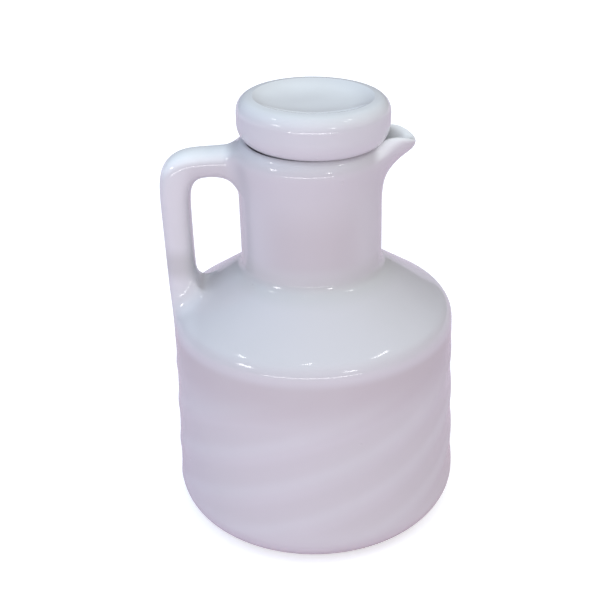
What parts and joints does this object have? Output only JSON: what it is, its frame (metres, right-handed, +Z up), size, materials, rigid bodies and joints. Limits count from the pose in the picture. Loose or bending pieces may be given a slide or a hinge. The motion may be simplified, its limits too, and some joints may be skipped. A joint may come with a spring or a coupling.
{
  "type": "vinegar cruet",
  "caption": "Squat round porcelain cruet for vinegar, with a sloping shoulder, a straight neck pulled into a pouring lip, a loop handle for one finger, and a loose dished stopper.",
  "frame": {"origin": "centre of the foot, on the table", "axes": "+Z up along the axis of the body, +X towards the pouring lip, so the handle lies towards -X"},
  "size_m": [0.0852, 0.0852, 0.1279],
  "materials": {
    "porcelain": "gloss"
  },
  "bodies": {
    "root": {"cruet_body": "porcelain", "stopper": "porcelain"}
  },
  "joints": []
}
